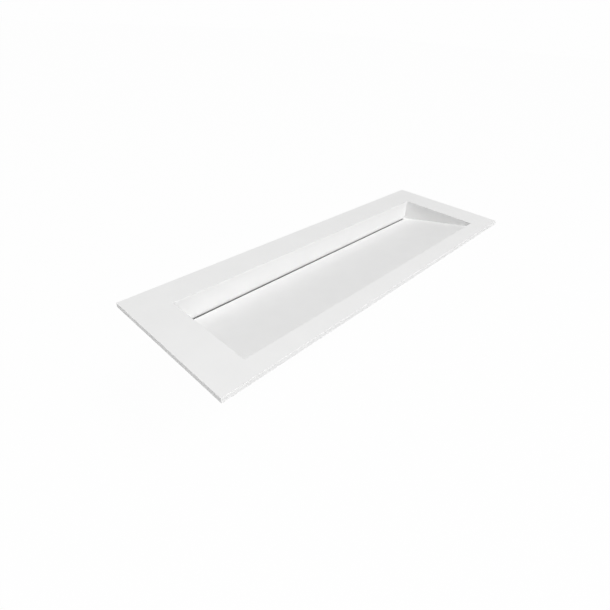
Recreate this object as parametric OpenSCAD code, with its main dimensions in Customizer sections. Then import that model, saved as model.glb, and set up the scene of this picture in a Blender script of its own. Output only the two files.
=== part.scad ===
// Washbasin made of bonded solid-surface sheet: a thin flat top with a rectangular opening, a ramp that
// falls to a slot along the foot of the back wall, and a hidden channel that falls to a waste.
// X runs along the length, Y from front to back, Z up. The origin is the middle of the fixing plane,
// the underside of the battens, where the washbasin sits on its cabinet or brackets.

/* [Top] */
// Length of the top, left to right
top_length = 1400; // [800:10:1800]
// Depth of the top, front to back
top_depth = 460; // [440:5:560]
// Thickness of the top sheet
sheet_t = 15; // [10:1:20]
// Radius that breaks the sharp edges of the top
arris = 1; // [0.5:0.1:2]

/* [Opening] */
// Flat margin to the left and to the right of the opening
side_margin = 110; // [96:1:200]
// Flat margin in front of the opening
front_margin = 60; // [56:1:90]
// Flat margin behind the opening
back_margin = 100; // [80:1:120]

/* [Basin] */
// Thickness of the walls, the ramp and the channel
panel_t = 12; // [9:1:16]
// Height that the ramp falls, from the underside of the top to the slot
ramp_drop = 63; // [40:1:80]
// Width of the ramp's flat land that is bonded under the top in front
ramp_lap = 22; // [16:1:28]
// Width of the slot between the ramp and the back wall
slot_w = 7; // [5:0.5:10]
// Length of the ramp that is left standing at each end of the slot
slot_land = 12; // [8:1:30]
// Radius of the ramp's edge along the slot
slot_round = 2; // [1:0.5:4]

/* [Channel] */
// Clear width of the channel, front to back
channel_w = 80; // [78:1:100]
// Height by which the channel's back laps the back wall
channel_lap = 24; // [15:1:40]
// Depth of the channel's floor under the slot, at its two ends
channel_drop = 36; // [30:1:60]
// Height that the channel's floor falls from its ends to the outlet block
channel_fall = 15; // [5:1:30]
// Length of the outlet block
outlet_length = 110; // [84:1:200]
// Thickness of the outlet block
outlet_t = 20; // [16:1:30]

/* [Battens] */
// Thickness of the battens under the top
batten_t = 18; // [15:1:30]
// Width of the battens at the left and right ends
side_batten_w = 40; // [24:1:50]
// Width of the batten along the back
back_batten_w = 56; // [20:1:60]
// Distance of the battens from the front edge and the ends of the top
batten_inset = 20; // [16:1:24]
// Gap between a batten and the panel beside it
batten_gap = 2; // [0.5:0.5:4]

/* [Gussets] */
// Height of the gussets that brace the end walls
gusset_h = 13; // [8:1:14]
// Reach of a gusset along the underside of the top
gusset_reach = 18; // [10:1:20]
// Distance of a gusset from the end of the opening
gusset_inset = 20; // [10:1:60]

/* [Fixing inserts] */
// Distance from the middle of an insert to the back batten
insert_margin = 14; // [10:1:40]
// Outside diameter of an insert
insert_d = 10; // [9:0.5:14]
// Length of an insert
insert_length = 13; // [8:0.5:14]
// Thread diameter of an insert
insert_thread_d = 6; // [4:1:7]

/* [Waste] */
// Diameter of the flange
flange_d = 70; // [66:1:72]
// Thickness of the flange
flange_t = 4; // [3.5:0.5:5]
// Diameter of the threaded barrel
barrel_d = 52; // [48:1:54]
// Thread diameter of the outlet tail
tail_d = 41.9; // [38:0.1:44]
// Length of the tail's thread
tail_length = 32; // [20:1:60]
// Wall of the barrel and the tail
waste_wall = 3.4; // [2.5:0.1:4]
// Height of the cone between the barrel and the tail
cone_h = 5; // [3:1:12]
// Thickness of the ring nut
nut_t = 10; // [7:1:16]
// Diameter of the ring nut, over its grips
nut_d = 76; // [72:1:90]
// Number of grips round the ring nut
nut_grips = 8; // [4:1:12]
// Thickness of the slip washer
washer_t = 1.5; // [1:0.5:3]
// Thickness of the seal under the flange
flange_seal_t = 1.5; // [1:0.5:3]
// Thickness of the seal under the outlet block
lower_seal_t = 3; // [2:0.5:5]

/* [Strainer] */
// Diameter of the strainer plate
strainer_d = 58; // [50:1:59]
// Thickness of the strainer plate
strainer_t = 2; // [1:0.5:2.5]
// Diameter of a strainer hole
strainer_hole_d = 4; // [3:0.5:4.5]
// Thread diameter of the strainer's screw
screw_d = 5; // [4:0.5:6]
// Length of the screw
screw_length = 14; // [10:1:16]

/* [Hidden] */
$fn = 96;

// Clearance between parts that screw or slide together
fit = 0.15;
// Length by which a cut passes a face
over = 1;

// Heights
under_z = batten_t;
top_z = under_z + sheet_t;

// Sides of the opening
open_length = top_length - 2 * side_margin;
open_front_y = front_margin - top_depth / 2;
open_back_y = top_depth / 2 - back_margin;

// Ramp: slot_front_y is the edge that the water leaves
slot_front_y = open_back_y - slot_w;
slope = ramp_drop / (slot_front_y - open_front_y);
panel_rise = panel_t * sqrt(1 + slope * slope);
lap_front_y = open_front_y - ramp_lap;
slot_length = open_length - 2 * slot_land;

// Channel
channel_back_y = open_back_y + panel_t;
channel_front_y = channel_back_y - channel_w;
floor_end_z = under_z - ramp_drop - channel_drop;
floor_mid_z = floor_end_z - channel_fall;
outlet_y = channel_back_y - channel_w / 2;
floor_slope = channel_fall / (open_length / 2 - outlet_length / 2);
floor_rise = panel_t * sqrt(1 + floor_slope * floor_slope);

// Waste, measured down from the top of the outlet block
flange_recess = flange_t + flange_seal_t;
barrel_end = outlet_t + lower_seal_t + washer_t + nut_t + 4;
tail_start = barrel_end + cone_h;
waste_end = tail_start + tail_length;
barrel_r = barrel_d / 2;
tail_r = tail_d / 2;
strainer_recess = 0.5;
hub_h = 9;
hub_gap = 0.5;
hub_r = screw_d / 2 + 3;
rib_t = 3;
screw_head_r = screw_d;

// Battens: the back one starts in line with the rear face of the channel
side_batten_x = top_length / 2 - batten_inset - side_batten_w / 2;
batten_front_y = batten_inset - top_depth / 2;
front_batten_w = lap_front_y - batten_gap - batten_front_y;
back_batten_y = channel_back_y + panel_t;
batten_length = top_length - 2 * batten_inset;
insert_spacing = 2 * (back_batten_y - insert_margin);

solid_white = [0.93, 0.93, 0.92];
plywood = [0.80, 0.67, 0.47];
steel = [0.75, 0.76, 0.78];
brass = [0.78, 0.62, 0.32];
rubber_black = [0.10, 0.10, 0.11];
nylon_white = [0.88, 0.88, 0.85];

// Height of the ramp's upper face and of its lower face at a place from front to back
function ramp_z(y) = under_z - slope * (y - open_front_y);
function ramp_under_z(y) = ramp_z(y) - panel_rise;

// Draws a profile in Y and Z and runs it along X, about the middle
module along_x(length) {
    rotate([90, 0, 90])
        linear_extrude(length, center = true)
            children();
}

// Draws a profile in X and Z and runs it along Y, about the middle
module along_y(length) {
    rotate([90, 0, 0])
        linear_extrude(length, center = true)
            children();
}

// Rectangle about the middle with round corners
module round_rect(w, h, r) {
    square([w - 2 * r, h], center = true);
    square([w, h - 2 * r], center = true);
    for (x = [-1, 1], y = [-1, 1])
        translate([x * (w / 2 - r), y * (h / 2 - r)])
            circle(r);
}

// Slab about the middle whose every edge is rounded
module soft_slab(size, r) {
    intersection() {
        linear_extrude(size.z, center = true)
            round_rect(size.x, size.y, r);
        along_x(size.x)
            round_rect(size.y, size.z, r);
        along_y(size.y)
            round_rect(size.x, size.z, r);
    }
}

// Section of the opening that widens in a round at the top face, with its upper side at height 0
module flared_section(w) {
    translate([0, -sheet_t / 2])
        square([w, sheet_t + 2 * over], center = true);
    difference() {
        translate([0, (over - arris) / 2])
            square([w + 2 * arris, arris + over], center = true);
        for (x = [-1, 1])
            translate([x * (w / 2 + arris), -arris])
                circle(arris);
    }
}

// Opening through the top, its upper edge rounded by the arris on all four sides
module opening_cut() {
    translate([0, (open_front_y + open_back_y) / 2, top_z])
        intersection() {
            along_y(top_depth)
                flared_section(open_length);
            along_x(top_length)
                flared_section(open_back_y - open_front_y);
        }
}

module top_sheet() {
    color(solid_white)
        difference() {
            translate([0, 0, top_z - sheet_t / 2])
                soft_slab([top_length, top_depth, sheet_t], arris);
            opening_cut();
        }
}

// Ramp seen from the end: a flat land bonded under the top, the slope, and a plumb edge at the channel's back
module ramp_section() {
    polygon([
        [lap_front_y, under_z],
        [open_front_y, under_z],
        [channel_back_y, ramp_z(channel_back_y)],
        [channel_back_y, ramp_under_z(channel_back_y)],
        [lap_front_y, ramp_under_z(lap_front_y)]
    ]);
}

// Rounding of the ramp's edge along the slot
module slot_edge_cut() {
    angle = atan(slope);
    r = slot_round;
    centre_y = slot_front_y - r;
    centre_z = ramp_z(slot_front_y) - r * (1 - sin(angle)) / cos(angle);
    along_x(slot_length)
        difference() {
            polygon([
                [centre_y + r * sin(angle), centre_z + r * cos(angle)],
                [slot_front_y + over, centre_z + r * cos(angle) + over],
                [slot_front_y + over, centre_z],
                [centre_y, centre_z]
            ]);
            translate([centre_y, centre_z])
                circle(r);
        }
}

// The ramp passes under the back wall at its two ends only; between them it stops short and leaves the slot
module ramp_panel() {
    notch_w = channel_back_y - slot_front_y + over;
    notch_z = ramp_under_z(channel_back_y) - over;
    color(solid_white)
        difference() {
            along_x(open_length)
                ramp_section();
            translate([-slot_length / 2, slot_front_y, notch_z])
                cube([slot_length, notch_w, ramp_z(slot_front_y) + over - notch_z]);
            slot_edge_cut();
        }
}

// Outline of a wall of the channel, seen from the front, whose lower edge follows the falling floor
module channel_wall_outline(length, upper_z) {
    end_z = floor_end_z - floor_rise;
    mid_z = floor_mid_z - floor_rise;
    polygon([
        [-length / 2, upper_z],
        [length / 2, upper_z],
        [length / 2, end_z],
        [open_length / 2, end_z],
        [outlet_length / 2, mid_z],
        [-outlet_length / 2, mid_z],
        [-open_length / 2, end_z],
        [-length / 2, end_z]
    ]);
}

// Back wall of the basin, its foot bevelled to the slope of the ramp
module back_wall() {
    color(solid_white)
        along_x(open_length + 2 * panel_t)
            polygon([
                [open_back_y, under_z],
                [channel_back_y, under_z],
                [channel_back_y, ramp_z(channel_back_y)],
                [open_back_y, ramp_z(open_back_y)]
            ]);
}

// Back wall of the channel, set behind the back wall of the basin and bonded to its rear face
module channel_back() {
    color(solid_white)
        translate([0, channel_back_y + panel_t / 2, 0])
            along_y(panel_t)
                channel_wall_outline(open_length + 2 * panel_t, ramp_z(channel_back_y) + channel_lap);
}

// End wall: a wedge beside the ramp that drops at the back, under the back wall, to close the channel
module end_wall(side) {
    floor_under_z = floor_end_z - floor_rise;
    wall_front_y = channel_front_y - panel_t;
    color(solid_white)
        translate([side * (open_length + panel_t) / 2, 0, 0])
            along_x(panel_t)
                polygon([
                    [lap_front_y, under_z],
                    [open_back_y, under_z],
                    [open_back_y, ramp_z(open_back_y)],
                    [channel_back_y, ramp_z(channel_back_y)],
                    [channel_back_y, floor_under_z],
                    [wall_front_y, floor_under_z],
                    [wall_front_y, ramp_under_z(wall_front_y)],
                    [lap_front_y, ramp_under_z(lap_front_y)]
                ]);
}

module left_wall() {
    end_wall(-1);
}

module right_wall() {
    end_wall(1);
}

// Front wall of the channel, its upper edge bevelled to the ramp's lower face
module channel_front() {
    front_y = channel_front_y - panel_t;
    color(solid_white)
        intersection() {
            translate([0, channel_front_y - panel_t / 2, 0])
                along_y(panel_t)
                    channel_wall_outline(open_length, under_z);
            along_x(open_length)
                polygon([
                    [front_y, ramp_under_z(front_y)],
                    [channel_front_y, ramp_under_z(channel_front_y)],
                    [channel_front_y, floor_mid_z - 2 * panel_t],
                    [front_y, floor_mid_z - 2 * panel_t]
                ]);
        }
}

// One falling half of the channel's floor
module channel_floor(side) {
    outer_x = side * open_length / 2;
    inner_x = side * outlet_length / 2;
    color(solid_white)
        translate([0, outlet_y, 0])
            along_y(channel_w)
                polygon([
                    [outer_x, floor_end_z],
                    [inner_x, floor_mid_z],
                    [inner_x, floor_mid_z - floor_rise],
                    [outer_x, floor_end_z - floor_rise]
                ]);
}

module channel_floor_left() {
    channel_floor(-1);
}

module channel_floor_right() {
    channel_floor(1);
}

// Moves a piece of the waste to its place: the middle of the outlet block's upper face is its origin
module at_outlet() {
    translate([0, outlet_y, floor_mid_z])
        children();
}

module ring(outer_r, inner_r, h) {
    difference() {
        cylinder(h = h, r = outer_r);
        translate([0, 0, -over])
            cylinder(h = h + 2 * over, r = inner_r);
    }
}

module outlet_block() {
    color(solid_white)
        at_outlet()
            difference() {
                translate([-outlet_length / 2, -channel_w / 2, -outlet_t])
                    cube([outlet_length, channel_w, outlet_t]);
                translate([0, 0, -flange_recess])
                    cylinder(h = flange_recess + over, d = flange_d + 2 * fit);
                translate([0, 0, -outlet_t - over])
                    cylinder(h = outlet_t + over, r = barrel_r + fit);
            }
}

module batten(size, place) {
    color(plywood)
        translate([place.x, place.y, 0])
            cube([size.x, size.y, batten_t]);
}

module front_batten() {
    batten([batten_length, front_batten_w], [-batten_length / 2, batten_front_y]);
}

module back_batten() {
    batten([batten_length, back_batten_w], [-batten_length / 2, back_batten_y]);
}

// Batten at one end, between the front and back battens, bored from below for the inserts
module side_batten(side) {
    start_y = batten_front_y + front_batten_w;
    difference() {
        batten([side_batten_w, back_batten_y - start_y], [side * side_batten_x - side_batten_w / 2, start_y]);
        for (y = [-1, 1])
            translate([side * side_batten_x, y * insert_spacing / 2, -over])
                cylinder(h = insert_length + over, r = insert_d / 2 + fit);
    }
}

module left_batten() {
    side_batten(-1);
}

module right_batten() {
    side_batten(1);
}

// Four brass inserts, flush with the fixing plane
module fixing_inserts() {
    color(brass)
        for (x = [-1, 1], y = [-1, 1])
            translate([x * side_batten_x, y * insert_spacing / 2, 0])
                ring(insert_d / 2, insert_thread_d / 2, insert_length);
}

// Triangular gussets between the end walls and the underside of the top
module corner_gussets() {
    wall_x = open_length / 2 + panel_t;
    first_y = open_front_y + gusset_inset;
    last_y = open_back_y - gusset_inset - panel_t;
    color(solid_white)
        for (side = [-1, 1], y = [first_y, last_y])
            translate([0, y + panel_t / 2, 0])
                along_y(panel_t)
                    polygon([
                        [side * wall_x, under_z],
                        [side * (wall_x + gusset_reach), under_z],
                        [side * wall_x, under_z - gusset_h]
                    ]);
}

// Section of the waste body: flange, threaded barrel, cone and threaded tail round one bore
module waste_section() {
    barrel_bore = barrel_r - waste_wall;
    tail_bore = tail_r - waste_wall;
    seat_r = strainer_d / 2 + fit;
    seat_z = -strainer_t - strainer_recess;
    polygon([
        [seat_r, 0],
        [flange_d / 2, 0],
        [flange_d / 2, -flange_t],
        [barrel_r, -flange_t],
        [barrel_r, -barrel_end],
        [tail_r, -tail_start],
        [tail_r, -waste_end],
        [tail_bore, -waste_end],
        [tail_bore, -tail_start],
        [barrel_bore, -barrel_end],
        [barrel_bore, seat_z],
        [seat_r, seat_z]
    ]);
}

// Hub and three ribs that take the strainer's screw, just below the plate's seat
module waste_spider() {
    hub_top_z = -strainer_t - strainer_recess - hub_gap;
    rib_start = hub_r - rib_t / 2;
    rib_end = barrel_r - waste_wall / 2;
    translate([0, 0, hub_top_z - hub_h]) {
        ring(hub_r, screw_d / 2 + fit, hub_h);
        for (turn = [0, 120, 240])
            rotate([0, 0, turn])
                translate([rib_start, -rib_t / 2, rib_t / 2])
                    cube([rib_end - rib_start, rib_t, hub_h - rib_t]);
    }
}

module waste_body() {
    color(steel)
        at_outlet() {
            rotate_extrude()
                waste_section();
            waste_spider();
        }
}

module flange_seal() {
    color(rubber_black)
        at_outlet()
            translate([0, 0, -flange_recess])
                ring(flange_d / 2 - 1, barrel_r + fit, flange_seal_t);
}

module lower_seal() {
    color(rubber_black)
        at_outlet()
            translate([0, 0, -outlet_t - lower_seal_t])
                ring(nut_d / 2 - 3, barrel_r + fit, lower_seal_t);
}

module slip_washer() {
    color(nylon_white)
        at_outlet()
            translate([0, 0, -outlet_t - lower_seal_t - washer_t])
                ring(nut_d / 2 - 3, barrel_r + fit, washer_t);
}

// Ring nut with square grips round its rim
module ring_nut() {
    grip_reach = 4;
    grip_w = 8;
    body_r = nut_d / 2 - grip_reach;
    color(brass)
        at_outlet()
            translate([0, 0, -outlet_t - lower_seal_t - washer_t - nut_t])
                difference() {
                    union() {
                        cylinder(h = nut_t, r = body_r);
                        for (i = [0 : nut_grips - 1])
                            rotate([0, 0, i * 360 / nut_grips])
                                translate([body_r - grip_reach, -grip_w / 2, over])
                                    cube([2 * grip_reach, grip_w, nut_t - 2 * over]);
                    }
                    translate([0, 0, -over])
                        cylinder(h = nut_t + 2 * over, r = barrel_r + fit);
                }
}

// Round plate with rings of holes and a countersunk middle
module strainer_plate() {
    ring_step = 6.5;
    rings = 3;
    color(steel)
        at_outlet()
            translate([0, 0, -strainer_t - strainer_recess])
                difference() {
                    cylinder(h = strainer_t, d = strainer_d);
                    for (n = [1 : rings], i = [0 : 6 * n - 1])
                        rotate([0, 0, i * 60 / n + 30 * (n % 2)])
                            translate([(n + 0.35) * ring_step, 0, -over])
                                cylinder(h = strainer_t + 2 * over, d = strainer_hole_d, $fn = 24);
                    translate([0, 0, -over])
                        cylinder(h = strainer_t + 2 * over, r = screw_d / 2 + fit);
                    rotate_extrude()
                        countersink(screw_head_r + fit, strainer_t + over);
                }
}

// Half section of a countersunk head of 90 degrees whose wide end lies at the plate's upper face
module countersink(r, upper_z) {
    polygon([
        [0, strainer_t - r],
        [r, strainer_t],
        [r, upper_z],
        [0, upper_z]
    ]);
}

// Countersunk screw with a hexagon socket
module strainer_screw() {
    socket_d = screw_d * 0.6;
    socket_depth = screw_d * 0.5;
    color(steel)
        at_outlet()
            translate([0, 0, -strainer_t - strainer_recess])
                difference() {
                    union() {
                        rotate_extrude()
                            countersink(screw_head_r, strainer_t);
                        translate([0, 0, strainer_t - screw_length])
                            cylinder(h = screw_length - screw_d / 2, r = screw_d / 2);
                    }
                    translate([0, 0, strainer_t - socket_depth])
                        cylinder(h = socket_depth + over, d = socket_d / cos(30), $fn = 6);
                }
}

top_sheet();
ramp_panel();
back_wall();
left_wall();
right_wall();
channel_front();
channel_back();
channel_floor_left();
channel_floor_right();
outlet_block();
front_batten();
back_batten();
left_batten();
right_batten();
corner_gussets();
fixing_inserts();
waste_body();
flange_seal();
lower_seal();
slip_washer();
ring_nut();
strainer_plate();
strainer_screw();
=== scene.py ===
import math

import bmesh
import bpy
from mathutils import Matrix, Vector


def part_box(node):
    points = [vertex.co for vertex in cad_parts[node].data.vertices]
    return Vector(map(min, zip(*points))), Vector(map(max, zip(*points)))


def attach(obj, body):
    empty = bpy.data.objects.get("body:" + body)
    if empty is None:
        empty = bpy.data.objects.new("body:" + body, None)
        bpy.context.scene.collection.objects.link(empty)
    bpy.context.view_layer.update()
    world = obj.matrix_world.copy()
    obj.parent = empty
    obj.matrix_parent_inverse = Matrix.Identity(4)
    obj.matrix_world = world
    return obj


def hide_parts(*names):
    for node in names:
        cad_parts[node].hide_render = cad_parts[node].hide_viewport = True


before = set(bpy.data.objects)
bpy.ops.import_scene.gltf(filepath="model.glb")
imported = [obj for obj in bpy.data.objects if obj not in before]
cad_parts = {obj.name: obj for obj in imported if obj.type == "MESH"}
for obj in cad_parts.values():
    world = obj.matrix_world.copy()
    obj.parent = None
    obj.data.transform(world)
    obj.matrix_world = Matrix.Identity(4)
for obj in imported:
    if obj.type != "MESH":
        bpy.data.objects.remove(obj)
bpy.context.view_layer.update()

# The scene is in metres; sizes written times MM, or said to be in mm, are in millimetres
MM = 0.001

# Nodes that are dressed or softened alike
SANDED = ("top_sheet", "ramp_panel", "back_wall", "left_wall", "right_wall")
# Pieces inside the channel and under the sheet: unsanded and rougher, and painted darker as shade in the
# recess
UNSANDED_PAINTED_SHADE = ("channel_front", "channel_back", "channel_floor_left", "channel_floor_right",
            "outlet_block", "corner_gussets")
BATTENS_ALONG_X = ("front_batten", "back_batten")
BATTENS_ALONG_Y = ("left_batten", "right_batten")
TURNED_BRASS = ("fixing_inserts", "ring_nut")
STRAINER = ("strainer_plate", "strainer_screw")
SEALS = ("flange_seal", "lower_seal")

# Base colours, linear
BIRCH = (0.62, 0.46, 0.27)
BRASS = (0.72, 0.54, 0.24)
STAINLESS = (0.68, 0.69, 0.70)
CHROME = (0.66, 0.67, 0.68)
RUBBER = (0.03, 0.03, 0.03)
NYLON = (0.78, 0.78, 0.74)
ADHESIVE = (0.74, 0.74, 0.70)
FLOOR_GREY = (0.74, 0.74, 0.74)

# Between these two values lies nearly all that a noise texture gives
NOISE_LOW = 0.3
NOISE_HIGH = 0.7

# Depth of a bump whose strength is 1
FINE_BUMP = 0.2 * MM
GRAIN_BUMP = 0.3 * MM

# Softened edges of the nodes, and the angle from which an edge of a new piece is sharp
WELD_DISTANCE = 0.01 * MM
BEVEL_ANGLE = math.radians(40)
BEVEL_SEGMENTS = 2
SHARP_ANGLE = math.radians(38)

# Waste body, in mm; heights are measured from the top of its flange, so those below it are negative
FLANGE_R = 35.0
FLANGE_HEIGHT = 4.0
FLANGE_CHAMFER = 0.4
RECESS_R = 29.15
RECESS_DEPTH = 2.5
BARREL_R = 26.0
BARREL_BORE_R = 22.6
BARREL_BORE_END = -38.5
BARREL_THREAD_TOP = -30.2
BARREL_THREAD_END = -38.3
BARREL_THREAD_DEPTH = 1.0
BARREL_THREAD_PITCH = 2.0
BARREL_CHAMFER = 0.6
TAIL_R = 20.95
TAIL_BORE_R = 17.55
TAIL_END = -75.5
TAIL_THREAD_TOP = -43.5
TAIL_THREAD_END = -74.9
TAIL_THREAD_DEPTH = 1.48
TAIL_THREAD_PITCH = 2.309
TAIL_CHAMFER = 1.35
THREAD_LAND = 0.2
HUB_R = 5.5
HUB_BORE_R = 2.65
HUB_TOP = -3.0
HUB_END = -12.0
HUB_CHAMFER = 0.4
RIB_COUNT = 3
RIB_START = 4.0
RIB_LENGTH = 20.3
RIB_WIDTH = 3.0
RIB_HEIGHT = 6.0
RIB_LOW = -10.5

# Fineness of the turned forms, and the shares of its depth that a thread has at its two ends
BODY_COLUMNS = 72
HUB_COLUMNS = 36
ROWS_PER_TURN = 8
TOP_DEPTH_SHARE = 0.001
END_DEPTH_SHARE = 0.35

# Bead of adhesive, in mm: each wave has its height, its angle per point and its start
BEAD_SPACING = 7.0
BEAD_STEPS = 4
BEAD_WIDTH = 1.5
BEAD_HEIGHT_SHARE = 0.9
BEAD_WAVES = ((0.35, 0.37, 0.0), (0.25, 1.13, 1.0), (0.15, 2.9, 0.0))

# Floor, in metres, as far below the fixing plane as such a top hangs, and the share of white in its look
FLOOR_Z = -0.85
FLOOR_HALF = 40.0
FLOOR_WHITE_SHARE = 0.98

# World: the light that it gives, and the white that it shows, so near the floor's that no horizon is seen
WORLD_LIGHT = 0.30
WORLD_WHITE = 0.99


# Camera: the photograph was taken from the front left, above, with a slight roll
def add_camera():
    place = Vector((-1.0185, -0.7259, 0.6877))
    azimuth = math.radians(-48.453)
    elevation = math.radians(35.42)
    roll = math.radians(3.856)
    back = Vector((math.sin(azimuth) * math.cos(elevation),
                   -math.cos(azimuth) * math.cos(elevation),
                   math.sin(elevation)))
    level_right = (-back).cross(Vector((0, 0, 1))).normalized()
    level_up = back.cross(level_right)
    right = level_right * math.cos(roll) + level_up * math.sin(roll)
    up = level_up * math.cos(roll) - level_right * math.sin(roll)
    data = bpy.data.cameras.new("camera")
    data.sensor_width = 36.0
    data.lens = 24.08
    data.clip_start = 0.01
    data.clip_end = 100.0
    camera = bpy.data.objects.new("camera", data)
    bpy.context.scene.collection.objects.link(camera)
    turn = Matrix((right, up, back)).transposed()
    camera.matrix_world = Matrix.Translation(place) @ turn.to_4x4()
    bpy.context.scene.camera = camera


# A node tree with short calls for its new nodes and links
class Tree:
    def __init__(self, tree):
        self.tree = tree

    def add(self, kind, **settings):
        node = self.tree.nodes.new(kind)
        for key, value in settings.items():
            setattr(node, key, value)
        return node

    def link(self, output, target):
        self.tree.links.new(output, target)


# A new material, its Principled shader and the textures and colours that feed it
class Shader(Tree):
    def __init__(self, name, color, roughness, metallic=0.0, ior=1.5):
        self.material = bpy.data.materials.new(name)
        self.material.use_nodes = True
        super().__init__(self.material.node_tree)
        self.main = self.tree.nodes["Principled BSDF"]
        self.main.inputs["Base Color"].default_value = (*color, 1)
        self.main.inputs["Roughness"].default_value = roughness
        self.main.inputs["Metallic"].default_value = metallic
        self.main.inputs["IOR"].default_value = ior
        self.coords = self.add("ShaderNodeTexCoord").outputs["Object"]

    def stretched(self, scale):
        mapping = self.add("ShaderNodeMapping")
        mapping.inputs["Scale"].default_value = scale
        self.link(self.coords, mapping.inputs["Vector"])
        return mapping.outputs["Vector"]

    def noise(self, scale, detail, vector=None, rough=0.5):
        node = self.add("ShaderNodeTexNoise")
        node.inputs["Scale"].default_value = scale
        node.inputs["Detail"].default_value = detail
        node.inputs["Roughness"].default_value = rough
        self.link(vector or self.coords, node.inputs["Vector"])
        return node.outputs["Fac"]

    def ramp(self, value, stops):
        node = self.add("ShaderNodeValToRGB")
        elements = node.color_ramp.elements
        while len(elements) < len(stops):
            elements.new(0.5)
        for element, (place, color) in zip(elements, stops):
            element.position = place
            element.color = (*color, 1)
        self.link(value, node.inputs["Fac"])
        return node.outputs["Color"]

    def spread(self, value, low, high):
        node = self.add("ShaderNodeMapRange")
        node.inputs["From Min"].default_value = NOISE_LOW
        node.inputs["From Max"].default_value = NOISE_HIGH
        node.inputs["To Min"].default_value = low
        node.inputs["To Max"].default_value = high
        self.link(value, node.inputs["Value"])
        return node.outputs["Result"]

    def mix(self, factor, first, second):
        node = self.add("ShaderNodeMix", data_type="RGBA")
        self.link(factor, node.inputs["Factor"])
        self.link(first, node.inputs["A"])
        self.link(second, node.inputs["B"])
        return node.outputs["Result"]

    def bump(self, height, strength, distance):
        node = self.add("ShaderNodeBump")
        node.inputs["Strength"].default_value = strength
        node.inputs["Distance"].default_value = distance
        self.link(height, node.inputs["Height"])
        self.link(node.outputs["Normal"], self.main.inputs["Normal"])


# Mineral-filled acrylic: faint clouding of the filler, a shade warmer than grey, and a fine texture
def solid_surface(name, shade, roughness, texture):
    contrast = 0.008
    warmth = 0.003
    s = Shader(name, (shade, shade, shade), roughness, ior=1.49)
    s.main.inputs["Specular IOR Level"].default_value = 0.18
    clouds = s.noise(scale=14.0, detail=3.0)
    low = shade - contrast
    high = shade + contrast
    darker = (low, low, low - warmth)
    lighter = (high, high, high - warmth)
    color = s.ramp(clouds, [(NOISE_LOW, darker), (NOISE_HIGH, lighter)])
    sheen = s.spread(s.noise(scale=60.0, detail=4.0), roughness - 0.04, roughness + 0.05)
    s.link(color, s.main.inputs["Base Color"])
    s.link(sheen, s.main.inputs["Roughness"])
    s.bump(s.noise(scale=2400.0, detail=3.0), strength=texture, distance=FINE_BUMP)
    return s.material


# Grain of a birch face, light to dark, drawn out along the batten
def birch_face(s, grain):
    pale = (0.70, 0.54, 0.34)
    middle = (0.63, 0.46, 0.27)
    dark = (0.50, 0.34, 0.18)
    return s.ramp(grain, [(0.3, pale), (0.5, middle), (0.72, dark)])


# Thin dark and light veneers, one above the other
def birch_edge(s):
    layers = s.add("ShaderNodeTexWave", wave_type="BANDS", bands_direction="Z")
    layers.inputs["Scale"].default_value = 110.0
    layers.inputs["Distortion"].default_value = 0.6
    layers.inputs["Detail"].default_value = 2.0
    s.link(s.coords, layers.inputs["Vector"])
    dark = (0.34, 0.21, 0.11)
    light = (0.66, 0.49, 0.30)
    return s.ramp(layers.outputs["Fac"], [(0.25, dark), (0.55, light)])


# 1 on level faces, 0 on upright ones
def levelness(s):
    normal = s.add("ShaderNodeSeparateXYZ")
    s.link(s.add("ShaderNodeNewGeometry").outputs["True Normal"], normal.inputs["Vector"])
    flat = s.add("ShaderNodeMath", operation="ABSOLUTE")
    s.link(normal.outputs["Z"], flat.inputs[0])
    return flat.outputs["Value"]


# Sealed birch plywood: grain on its level faces, veneers on its edges
def plywood(name, stretch):
    s = Shader(name, BIRCH, roughness=0.55)
    grain = s.noise(scale=9.0, detail=6.0, vector=s.stretched(stretch), rough=0.62)
    face = birch_face(s, grain)
    edge = birch_edge(s)
    s.link(s.mix(levelness(s), edge, face), s.main.inputs["Base Color"])
    s.bump(grain, strength=0.35, distance=GRAIN_BUMP)
    return s.material


# Metal whose roughness wanders between a low and a high value, drawn out where it is brushed
def metal(name, color, low, high, scale, stretch=None, uneven=0.12):
    s = Shader(name, color, (low + high) / 2, metallic=1.0)
    vector = s.stretched(stretch) if stretch else None
    streaks = s.noise(scale, detail=4.0, vector=vector)
    s.link(s.spread(streaks, low, high), s.main.inputs["Roughness"])
    darker = tuple(0.86 * c for c in color)
    s.link(s.ramp(streaks, [(NOISE_LOW, darker), (0.65, color)]), s.main.inputs["Base Color"])
    s.bump(streaks, strength=uneven, distance=FINE_BUMP)
    return s.material


# Rubber, nylon or adhesive: a dull moulded face with a fine grain
def moulded(name, color, roughness):
    s = Shader(name, color, roughness)
    fine = s.noise(scale=900.0, detail=3.0)
    lighter = tuple(min(1.0, 1.12 * c + 0.004) for c in color)
    s.link(s.ramp(fine, [(NOISE_LOW, color), (NOISE_HIGH, lighter)]), s.main.inputs["Base Color"])
    s.link(s.spread(fine, roughness - 0.06, roughness + 0.06), s.main.inputs["Roughness"])
    s.bump(fine, strength=0.2, distance=FINE_BUMP)
    return s.material


# One material on each of the named nodes
def dress(names, material):
    for name in names:
        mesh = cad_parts[name].data
        mesh.materials.clear()
        mesh.materials.append(material)


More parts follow.
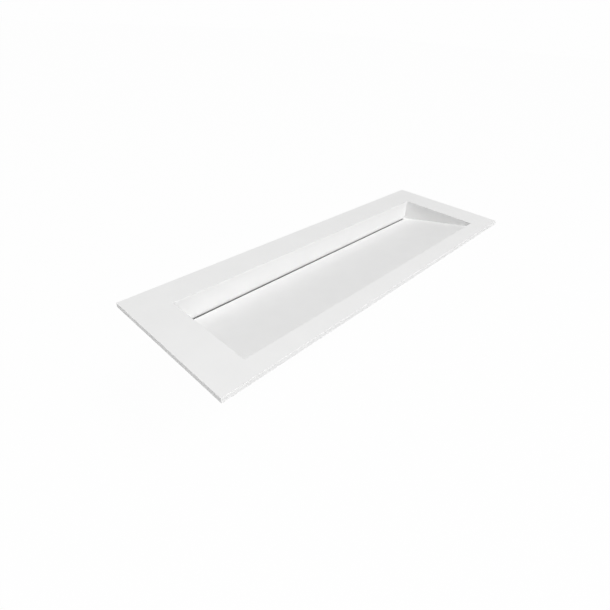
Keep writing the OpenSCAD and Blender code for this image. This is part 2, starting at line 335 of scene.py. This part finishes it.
# Materials of all nodes but the waste body, whose piece brings its own
def dress_all():
    dress(SANDED, solid_surface("solid_surface", shade=0.86, roughness=0.42, texture=0.08))
    # Painted shade: these pieces get a darker tone than the sheet (0.74 against 0.86) so that the slot's
    # recess looks darker; their higher roughness and coarser texture are an unsanded finish
    dress(UNSANDED_PAINTED_SHADE, solid_surface("solid_surface_unsanded_painted_shade", shade=0.74, roughness=0.62, texture=0.25))
    dress(BATTENS_ALONG_X, plywood("plywood_along_x", stretch=(0.5, 9.0, 9.0)))
    dress(BATTENS_ALONG_Y, plywood("plywood_along_y", stretch=(9.0, 0.5, 9.0)))
    dress(TURNED_BRASS, metal("brass", BRASS, low=0.24, high=0.40, scale=220.0))
    brushed = (1.0, 14.0, 1.0)
    steel = metal("stainless_steel", STAINLESS, low=0.24, high=0.36, scale=260.0, stretch=brushed)
    dress(STRAINER, steel)
    dress(SEALS, moulded("rubber", RUBBER, roughness=0.7))
    dress(["slip_washer"], moulded("nylon", NYLON, roughness=0.5))


# A quiet bevel on cut edges; the imported faces are welded first so that they share their edges
def soften(names, width):
    for name in names:
        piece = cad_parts[name]
        weld = piece.modifiers.new("weld", "WELD")
        weld.merge_threshold = WELD_DISTANCE
        bevel = piece.modifiers.new("bevel", "BEVEL")
        bevel.width = width
        bevel.segments = BEVEL_SEGMENTS
        bevel.limit_method = "ANGLE"
        bevel.angle_limit = BEVEL_ANGLE
        bevel.harden_normals = True


# Wood is rounded most, sheet and metal less
def soften_all():
    soften(BATTENS_ALONG_X + BATTENS_ALONG_Y, 0.8 * MM)
    soften(["corner_gussets"], 0.4 * MM)
    soften(["ring_nut"], 0.5 * MM)


# Lowest and highest corner of a node in mm, rounded because the frame holds them in single precision
def box_in_mm(node):
    return [[round(value / MM, 3) for value in corner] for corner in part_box(node)]


# New piece in the frame's own place: smooth but for its sharp edges, riding with the washbasin
def add_piece(name, vertices, faces, material):
    mesh = bpy.data.meshes.new(name)
    mesh.from_pydata(vertices, [], faces)
    shape = bmesh.new()
    shape.from_mesh(mesh)
    bmesh.ops.recalc_face_normals(shape, faces=shape.faces)
    shape.to_mesh(mesh)
    shape.free()
    mesh.shade_smooth()
    mesh.set_sharp_from_angle(angle=SHARP_ANGLE)
    mesh.materials.append(material)
    piece = bpy.data.objects.new(name, mesh)
    bpy.context.scene.collection.objects.link(piece)
    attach(piece, "root")
    return piece


# Several forms as one list of vertices and one of faces
def joined(parts):
    vertices, faces = [], []
    for part_vertices, part_faces in parts:
        start = len(vertices)
        vertices += part_vertices
        faces += [tuple(start + i for i in face) for face in part_faces]
    return vertices, faces


# Closed profile turned round a vertical line; a station is radius, height, thread depth and pitch.
# Stations are in mm, the centre is in metres
def turned(stations, columns, centre):
    vertices = []
    for radius, height, depth, pitch in stations:
        for column in range(columns):
            turn = column / columns
            wave = 0.5 - 0.5 * math.cos(2 * math.pi * (height / pitch - turn)) if depth else 0.0
            r = (radius - depth * wave) * MM
            angle = 2 * math.pi * turn
            vertices.append((centre[0] + r * math.cos(angle),
                             centre[1] + r * math.sin(angle),
                             centre[2] + height * MM))
    faces = []
    rows = len(stations)
    for row in range(rows):
        below = (row + 1) % rows
        for column in range(columns):
            after = (column + 1) % columns
            faces.append((row * columns + column, row * columns + after,
                          below * columns + after, below * columns + column))
    return vertices, faces


# Stations without a thread, from pairs of radius and height
def plain(points):
    return [(radius, height, 0.0, 1.0) for radius, height in points]


# Stations of a thread from one height down to another; its depth fades over the turn at each end
def thread_rows(radius, start, end, depth, pitch):
    count = round((start - end) / pitch * ROWS_PER_TURN)
    rows = []
    for i in range(count + 1):
        height = start + (end - start) * i / count
        share = min(1.0, (start - height) / pitch, (height - end) / pitch + END_DEPTH_SHARE)
        rows.append((radius, height, depth * max(share, TOP_DEPTH_SHARE), pitch))
    return rows


# Flange, barrel and tail: down the outside with both threads, then up the bore to the recess
def body_stations():
    stations = plain([(RECESS_R, 0.0),
                      (FLANGE_R - FLANGE_CHAMFER, 0.0),
                      (FLANGE_R, -FLANGE_CHAMFER),
                      (FLANGE_R, FLANGE_CHAMFER - FLANGE_HEIGHT),
                      (FLANGE_R - FLANGE_CHAMFER, -FLANGE_HEIGHT),
                      (BARREL_R, -FLANGE_HEIGHT),
                      (BARREL_R, BARREL_THREAD_TOP + THREAD_LAND)])
    stations += thread_rows(BARREL_R, BARREL_THREAD_TOP, BARREL_THREAD_END,
                            BARREL_THREAD_DEPTH, BARREL_THREAD_PITCH)
    stations += plain([(BARREL_R - BARREL_CHAMFER, BARREL_THREAD_END - BARREL_CHAMFER),
                       (TAIL_R, TAIL_THREAD_TOP + THREAD_LAND)])
    stations += thread_rows(TAIL_R, TAIL_THREAD_TOP, TAIL_THREAD_END,
                            TAIL_THREAD_DEPTH, TAIL_THREAD_PITCH)
    stations += plain([(TAIL_R - TAIL_CHAMFER, TAIL_END),
                       (TAIL_BORE_R, TAIL_END),
                       (TAIL_BORE_R, TAIL_THREAD_TOP),
                       (BARREL_BORE_R, BARREL_BORE_END),
                       (BARREL_BORE_R, -RECESS_DEPTH),
                       (RECESS_R, -RECESS_DEPTH)])
    return stations


# Hub in the middle of the waste, bored for the strainer's screw
def hub_stations():
    return plain([(HUB_R - HUB_CHAMFER, HUB_TOP),
                  (HUB_R, HUB_TOP - HUB_CHAMFER),
                  (HUB_R, HUB_END),
                  (HUB_BORE_R, HUB_END),
                  (HUB_BORE_R, HUB_TOP)])


# Rib from the hub to the barrel, turned about the middle of the waste
def rib(turn, centre):
    corners = [(x, y, z) for z in (0, 1) for x, y in ((0, 0), (1, 0), (1, 1), (0, 1))]
    c, s = math.cos(turn), math.sin(turn)
    vertices = []
    for x, y, z in corners:
        along = RIB_START + RIB_LENGTH * x
        across = RIB_WIDTH * (y - 0.5)
        vertices.append((centre[0] + (c * along - s * across) * MM,
                         centre[1] + (s * along + c * across) * MM,
                         centre[2] + (RIB_LOW + RIB_HEIGHT * z) * MM))
    faces = [(3, 2, 1, 0), (4, 5, 6, 7), (0, 1, 5, 4), (1, 2, 6, 5), (2, 3, 7, 6), (3, 0, 4, 7)]
    return vertices, faces


# Waste body as the solid has it, with its fine barrel thread and the pipe thread of the tail cut in
def add_waste():
    low, high = box_in_mm("outlet_block")
    centre = ((low[0] + high[0]) / 2 * MM, (low[1] + high[1]) / 2 * MM, high[2] * MM)
    body = turned(body_stations(), BODY_COLUMNS, centre)
    hub = turned(hub_stations(), HUB_COLUMNS, centre)
    parts = [body, hub]
    for i in range(RIB_COUNT):
        parts.append(rib(i * 2 * math.pi / RIB_COUNT, centre))
    vertices, faces = joined(parts)
    chrome = metal("chromed_brass", CHROME, low=0.08, high=0.16, scale=90.0, uneven=0.02)
    piece = add_piece("waste_body_threaded", vertices, faces, chrome)
    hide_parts("waste_body")


# Points along a rectangle, evenly spaced, each with the direction that leads out of the rectangle
def rectangle_path(x, front, back):
    corners = [(-x, front), (x, front), (x, back), (-x, back)]
    middle = (front + back) / 2
    path = []
    for i, (ax, ay) in enumerate(corners):
        bx, by = corners[(i + 1) % 4]
        length = math.hypot(bx - ax, by - ay)
        side_out = ((by - ay) / length, (ax - bx) / length)
        corner_out = (math.copysign(1, ax), math.copysign(1, ay - middle))
        path.append((ax, ay, corner_out))
        count = int(length / BEAD_SPACING)
        for k in range(1, count):
            path.append((ax + (bx - ax) * k / count, ay + (by - ay) * k / count, side_out))
    return path


# Width of the bead at one of its points
def bead_width(i):
    swell = sum(height * math.sin(step * i + start) for height, step, start in BEAD_WAVES)
    return BEAD_WIDTH + swell


# Bead of adhesive along a rectangle of battens, in the corner under the sheet: a quarter round.
# It lies outside the rectangle where outward is 1, inside it where outward is -1
def bead(x, front, back, under, outward):
    path = rectangle_path(x, front, back)
    vertices, faces = [], []
    for i, (px, py, (nx, ny)) in enumerate(path):
        width = bead_width(i)
        for k in range(BEAD_STEPS + 1):
            angle = math.pi / 2 * k / BEAD_STEPS
            out = width * math.cos(angle) * outward
            down = width * BEAD_HEIGHT_SHARE * math.sin(angle)
            vertices.append(((px + nx * out) * MM, (py + ny * out) * MM, (under - down) * MM))
        vertices.append((px * MM, py * MM, under * MM))
    ring = BEAD_STEPS + 2
    for i in range(len(path)):
        j = (i + 1) % len(path)
        for k in range(ring):
            m = (k + 1) % ring
            faces.append((i * ring + k, j * ring + k, j * ring + m, i * ring + m))
    return vertices, faces


# One bead round the outside of the frame of battens, one round its inside
def add_adhesive():
    front_low, front_high = box_in_mm("front_batten")
    back_low, back_high = box_in_mm("back_batten")
    side_low, side_high = box_in_mm("right_batten")
    under = side_high[2]
    outer = bead(side_high[0], front_low[1], back_high[1], under, 1)
    inner = bead(side_low[0], front_high[1], back_low[1], under, -1)
    vertices, faces = joined([outer, inner])
    clear = moulded("adhesive", ADHESIVE, roughness=0.38)
    add_piece("batten_adhesive", vertices, faces, clear)


# 1 for what the camera sees straight, in a reflection or through glass, otherwise 0
def seen_directly(s):
    path = s.add("ShaderNodeLightPath")
    first = s.add("ShaderNodeMath", operation="MAXIMUM")
    both = s.add("ShaderNodeMath", operation="MAXIMUM")
    s.link(path.outputs["Is Camera Ray"], first.inputs[0])
    s.link(path.outputs["Is Glossy Ray"], first.inputs[1])
    s.link(first.outputs["Value"], both.inputs[0])
    s.link(path.outputs["Is Transmission Ray"], both.inputs[1])
    return both.outputs["Value"]


# Wide floor; nearly white to the camera, so that only a faint shadow shows on it
def add_floor():
    mesh = bpy.data.meshes.new("floor")
    corners = [(-1, -1), (1, -1), (1, 1), (-1, 1)]
    vertices = [(x * FLOOR_HALF, y * FLOOR_HALF, FLOOR_Z) for x, y in corners]
    mesh.from_pydata(vertices, [], [(0, 1, 2, 3)])
    floor = bpy.data.objects.new("floor", mesh)
    bpy.context.scene.collection.objects.link(floor)
    s = Shader("floor", FLOOR_GREY, roughness=0.9)
    white = s.add("ShaderNodeEmission")
    white.inputs["Strength"].default_value = 1.0
    share = s.add("ShaderNodeMath", operation="MULTIPLY")
    share.inputs[1].default_value = FLOOR_WHITE_SHARE
    s.link(seen_directly(s), share.inputs[0])
    blend = s.add("ShaderNodeMixShader")
    s.link(share.outputs["Value"], blend.inputs["Fac"])
    s.link(s.main.outputs["BSDF"], blend.inputs[1])
    s.link(white.outputs["Emission"], blend.inputs[2])
    s.link(blend.outputs["Shader"], s.tree.nodes["Material Output"].inputs["Surface"])
    mesh.materials.append(s.material)


# World: even soft light from all round, white where it is seen
def add_world():
    world = bpy.data.worlds.new("studio")
    bpy.context.scene.world = world
    world.use_nodes = True
    s = Tree(world.node_tree)
    light = s.tree.nodes["Background"]
    light.inputs["Color"].default_value = (1, 1, 1, 1)
    light.inputs["Strength"].default_value = WORLD_LIGHT
    white = s.add("ShaderNodeBackground")
    white.inputs["Color"].default_value = (1, 1, 1, 1)
    white.inputs["Strength"].default_value = WORLD_WHITE
    blend = s.add("ShaderNodeMixShader")
    s.link(seen_directly(s), blend.inputs["Fac"])
    s.link(light.outputs["Background"], blend.inputs[1])
    s.link(white.outputs["Background"], blend.inputs[2])
    s.link(blend.outputs["Shader"], s.tree.nodes["World Output"].inputs["Surface"])


# Square soft light at a place, aimed at a target, both in metres
def add_lamp(name, place, target, size, watts):
    data = bpy.data.lights.new(name, "AREA")
    data.shape = "SQUARE"
    data.size = size
    data.energy = watts
    lamp = bpy.data.objects.new(name, data)
    bpy.context.scene.collection.objects.link(lamp)
    lamp.location = place
    aim = Vector(target) - Vector(place)
    lamp.rotation_mode = "QUATERNION"
    lamp.rotation_quaternion = aim.to_track_quat("-Z", "Y")


# Key light from high in front and far off, with weak fills from above, the left and low on the left
def add_lights():
    add_world()
    add_lamp("key", (-0.9, -6.1, 7.7), (0, 0, 0), size=1.7, watts=695.0)
    add_lamp("overhead", (-1.3, 0.2, 2.6), (-0.5, 0, 0), size=1.2, watts=4.5)
    add_lamp("left", (-3.0, 0.6, 3.0), (0, 0, 0), size=1.2, watts=6.0)
    add_lamp("low_left", (-1.7, -0.45, -0.2), (-0.7, -0.05, 0.02), size=0.3, watts=1.4)


add_camera()
dress_all()
soften_all()
add_waste()
add_adhesive()
add_floor()
add_lights()

bpy.context.scene.view_settings.view_transform = "Standard"
